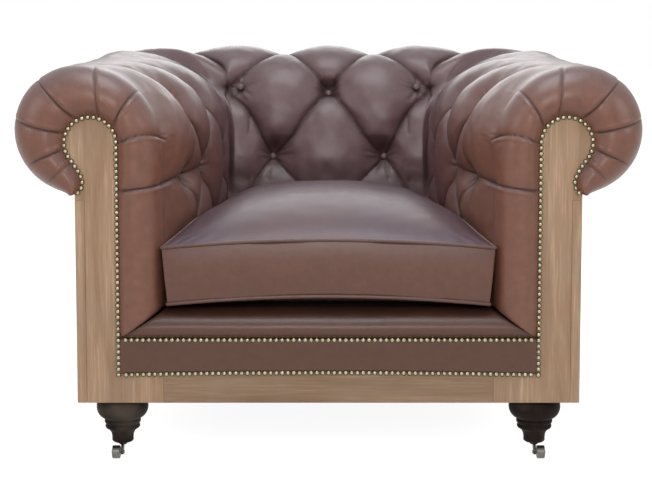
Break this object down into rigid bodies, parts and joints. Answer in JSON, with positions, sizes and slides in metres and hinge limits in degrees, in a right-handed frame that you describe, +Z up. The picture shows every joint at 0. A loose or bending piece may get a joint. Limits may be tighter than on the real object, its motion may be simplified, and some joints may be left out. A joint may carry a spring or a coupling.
{
  "type": "club chair",
  "caption": "Deep-buttoned club chair with rolled arms and back, keyhole wood facings, a padded front border, a loose box cushion and turned front legs on swivel casters.",
  "frame": {"origin": "on the floor under the middle of the chair's overall width and depth", "axes": "+X to the right seen from the front, +Y backwards, +Z up; the front faces -Y"},
  "size_m": [1.1486, 0.9418, 0.756],
  "materials": {
    "body_leather": "worn reddish-brown hide with a soft mauve-grey sheen on its crowns and dark folds",
    "cushion_leather": "worn brown hide, greyed on top, redder on the boxing, with thin welts",
    "outside_leather": "plain stretched brown hide, satin",
    "button_leather": "the same hide pulled over button moulds",
    "weathered_oak": "light weathered oak, open grain, dull wax",
    "frame_beech": "sawn, unfinished",
    "dark_wood": "very dark brown stain, semi-gloss lacquer",
    "jute_webbing": "coarse jute strap",
    "black_lining": "thin black lining cloth",
    "caster_metal": "dark pressed steel",
    "wheel_metal": "bright turned metal, lightly worn",
    "antique_brass": "domed upholstery nails with dark rims and worn bright crowns",
    "welt_leather": "narrow piped welt of the same hide"
  },
  "bodies": {
    "root": {"left_arm_upholstery": "body_leather", "left_outside_arm_panel": "outside_leather", "left_arm_facing": "weathered_oak", "left_side_stile": "weathered_oak", "left_side_rail": "weathered_oak", "left_rear_post": "weathered_oak", "left_arm_rail": "frame_beech", "left_front_corner_block": "frame_beech", "left_rear_corner_block": "frame_beech", "left_front_leg": "dark_wood", "left_rear_leg": "dark_wood", "left_caster_socket": "caster_metal", "left_arm_button_1": "button_leather", "left_arm_button_2": "button_leather", "left_arm_button_3": "button_leather", "left_arm_button_4": "button_leather", "right_arm_upholstery": "body_leather", "right_outside_arm_panel": "outside_leather", "right_arm_facing": "weathered_oak", "right_side_stile": "weathered_oak", "right_side_rail": "weathered_oak", "right_rear_post": "weathered_oak", "right_arm_rail": "frame_beech", "right_front_corner_block": "frame_beech", "right_rear_corner_block": "frame_beech", "right_front_leg": "dark_wood", "right_rear_leg": "dark_wood", "right_caster_socket": "caster_metal", "right_arm_button_1": "button_leather", "right_arm_button_2": "button_leather", "right_arm_button_3": "button_leather", "right_arm_button_4": "button_leather", "front_rail": "weathered_oak", "back_rail": "weathered_oak", "back_top_rail": "frame_beech", "back_upholstery": "body_leather", "seat_border": "body_leather", "front_band": "body_leather", "outside_back_panel": "outside_leather", "seat_webbing": "jute_webbing", "seat_deck": "black_lining", "seat_cushion": "cushion_leather", "dust_cover": "black_lining", "back_button_1": "button_leather", "back_button_2": "button_leather", "back_button_3": "button_leather", "back_button_4": "button_leather", "back_button_5": "button_leather"},
    "left_caster": {"left_caster_fork": "caster_metal", "left_caster_axle": "wheel_metal"},
    "left_wheel": {"left_caster_wheel": "wheel_metal"},
    "right_caster": {"right_caster_fork": "caster_metal", "right_caster_axle": "wheel_metal"},
    "right_wheel": {"right_caster_wheel": "wheel_metal"}
  },
  "joints": [
    {"name": "left_caster_swivel", "type": "hinge", "parent": "root", "child": "left_caster", "pos_m": [-0.3856, -0.39693, 0.03], "axis": [0, 0, 1], "continuous": true},
    {"name": "left_wheel_spin", "type": "hinge", "parent": "left_caster", "child": "left_wheel", "pos_m": [-0.3969, -0.40693, 0.01225], "axis": [1, 0, 0], "continuous": true},
    {"name": "right_caster_swivel", "type": "hinge", "parent": "root", "child": "right_caster", "pos_m": [0.3856, -0.39693, 0.03], "axis": [0, 0, 1], "continuous": true},
    {"name": "right_wheel_spin", "type": "hinge", "parent": "right_caster", "child": "right_wheel", "pos_m": [0.3969, -0.40693, 0.01225], "axis": [1, 0, 0], "continuous": true}
  ]
}
